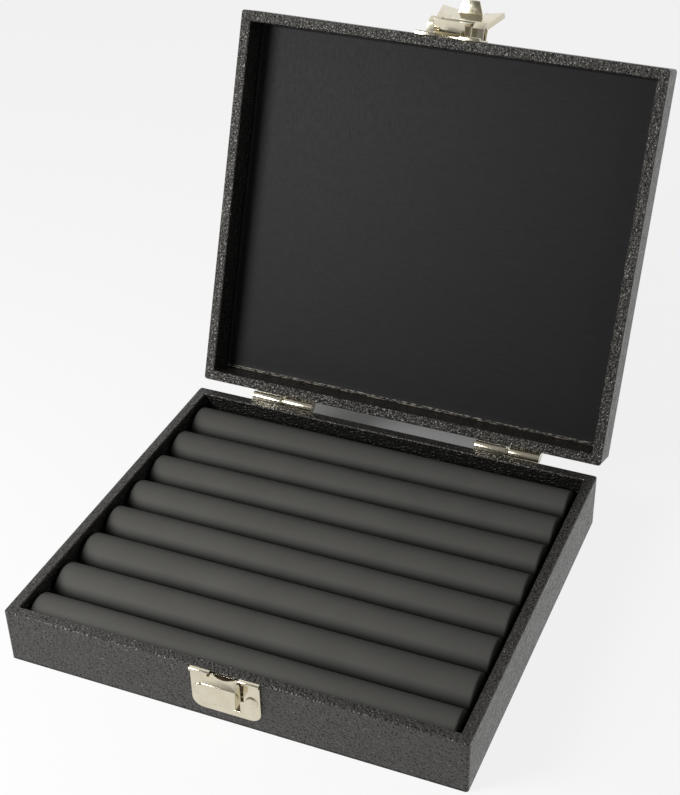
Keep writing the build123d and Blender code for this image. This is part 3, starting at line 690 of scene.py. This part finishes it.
def domed_nails(node, body, axis_out):
    """Every nail of a node as a lathed dome with a rolled edge."""
    out = Vector(axis_out).normalized()
    across = Vector((1, 0, 0))
    upward = out.cross(across)
    vertices = []
    faces = []
    for nail in loose_parts(node):
        tip = max(point.dot(out) for point in nail)
        root = min(point.dot(out) for point in nail)
        head = [point for point in nail if point.dot(out) > root + (tip - root) * HEAD_FROM]
        x_mid, radius = middle_and_half([point.x for point in head])
        up_mid, _ = middle_and_half([point.dot(upward) for point in head])
        seat = min(p.dot(out) for p in nail if abs(p.x - x_mid) > radius * SEAT_FROM)
        dome = tip - seat
        profile = [(radius * reach, dome * rise) for reach, rise in DOME_EDGE]
        for turn in map(math.radians, DOME_ANGLES):
            rise = DOME_SPRING + (1 - DOME_SPRING) * math.cos(turn)
            profile.append((radius * math.sin(turn), dome * rise))
        start = len(vertices)
        for reach, rise in profile:
            for side in range(NAIL_SIDES):
                turn = 2 * math.pi * side / NAIL_SIDES
                x = x_mid + reach * math.cos(turn)
                up = up_mid + reach * math.sin(turn)
                vertices.append(across * x + upward * up + out * (seat + rise))
        top = len(vertices)
        vertices.append(across * x_mid + upward * up_mid + out * tip)
        faces += band(start, len(profile), NAIL_SIDES)
        faces += fan(top, start + (len(profile) - 1) * NAIL_SIDES, NAIL_SIDES)
        faces.append(tuple(start + side for side in reversed(range(NAIL_SIDES))))
    piece = add_mesh(f"{node}_domed", vertices, faces, "nickel")
    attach(piece, body)
    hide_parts(node)


domed_nails("catch_nails", "base", FRONT_OUT)
domed_nails("hinge_base_nails", "base", REAR_OUT)
domed_nails("hasp_nails", "lid", LID_TURN @ FRONT_OUT)
domed_nails("hinge_lid_nails", "lid", LID_TURN @ REAR_OUT)


# The floor shows its own shade only in a patch behind the box, where the lid shades it: within
# a width of the patch's middle, and between the box and a line behind it
FLOOR_SIZE = 6.0
PATCH_MIDDLE = -14 * MM
PATCH_FULL = 200 * MM
PATCH_SIDE = ((66 * MM, 0.0), (82 * MM, 1.0))
PATCH_NEAR = ((70 * MM, 1.0), (90 * MM, 0.0))
PATCH_FAR = ((160 * MM, 0.0), (190 * MM, 1.0))
# The share of plain white that rays see on the floor, in the patch and added outside it
PATCH_WHITE = 0.02
OPEN_WHITE = 0.83


def add_stage():
    """A pale floor that reads as nearly white to the camera and keeps a soft shadow."""
    bpy.ops.mesh.primitive_plane_add(size=FLOOR_SIZE, location=(0, 0, 0))
    floor = bpy.context.object
    floor.name = "floor"
    m = Material("pale_floor")
    m.set(Base_Color=(0.9, 0.9, 0.9, 1), Roughness=0.9, Specular_IOR_Level=0.1)
    glow = m.new("Emission", Strength=1.0)
    rays = m.new("LightPath").outputs
    seen = m.math("MAXIMUM", rays["Is Camera Ray"], rays["Is Transmission Ray"])
    seen = m.math("MAXIMUM", seen, rays["Is Glossy Ray"])
    off_middle = m.math("ABSOLUTE", m.math("ADD", m.axis("X"), -PATCH_MIDDLE))
    aside = m.by_length(off_middle, PATCH_FULL, *PATCH_SIDE)
    near = m.by_length(m.axis("Y"), PATCH_FULL, *PATCH_NEAR)
    far = m.by_length(m.axis("Y"), PATCH_FULL, *PATCH_FAR)
    outside = m.math("MAXIMUM", m.math("MAXIMUM", aside, near), far)
    share = m.math("ADD", m.math("MULTIPLY", outside, OPEN_WHITE), PATCH_WHITE)
    choose = m.new("MixShader", Fac=m.math("MULTIPLY", seen, share))
    m.feed(choose.inputs[1], m.shader.outputs["BSDF"])
    m.feed(choose.inputs[2], glow.outputs["Emission"])
    m.feed(m.output.inputs["Surface"], choose.outputs["Shader"])
    floor.data.materials.append(m.material)


# Levels of the surroundings: on matt surfaces, and what the metal reflects, where the ceiling
# and the front are darker. The ranges are heights and depths of the direction looked in
MATT_LEVEL = 0.13
CEILING = {"From_Min": 0.7, "From_Max": 0.95, "To_Min": 1.0, "To_Max": 0.3}
FRONT = {"From_Min": -0.75, "From_Max": -0.25, "To_Min": 0.22, "To_Max": 1.0}


def add_world():
    """White surroundings to the camera, a darker room in the metal, soft light on the box."""
    world = bpy.data.worlds.new("studio")
    bpy.context.scene.world = world
    world.use_nodes = True
    room = Tree(world.node_tree, "Generated")
    rays = room.new("LightPath").outputs
    ceiling = room.new("MapRange", Value=room.axis("Z"), **CEILING).outputs["Result"]
    front = room.new("MapRange", Value=room.axis("Y"), **FRONT).outputs["Result"]
    reflected = room.math("MULTIPLY", ceiling, front)

    def pick(test, otherwise, chosen):
        """One of two levels, by a test that is 0 or 1."""
        node = room.new("Mix")
        node.data_type = "FLOAT"
        for index, value in ((0, test), (2, otherwise), (3, chosen)):
            room.feed(node.inputs[index], value)
        return node.outputs[0]

    level = pick(rays["Is Glossy Ray"], MATT_LEVEL, reflected)
    level = pick(rays["Is Transmission Ray"], level, 1.0)
    level = pick(rays["Is Camera Ray"], level, 1.0)
    room.fill(room.tree.nodes["Background"], {"Color": (1, 1, 1, 1), "Strength": level})


def add_light(name, place, target, size, power):
    """A rectangular lamp aimed at a point."""
    data = bpy.data.lights.new(name, "AREA")
    data.shape = "RECTANGLE"
    data.size, data.size_y = size
    data.energy = power
    lamp = bpy.data.objects.new(name, data)
    lamp.location = place
    aim = Vector(target) - Vector(place)
    lamp.rotation_euler = aim.to_track_quat("-Z", "Y").to_euler()
    bpy.context.scene.collection.objects.link(lamp)


add_camera()
add_stage()
add_world()
add_light("key", place=(-0.38, -0.40, 0.36), target=(-0.02, 0, 0.05), size=(0.27, 0.27), power=4.2)

bpy.context.scene.view_settings.view_transform = "Standard"
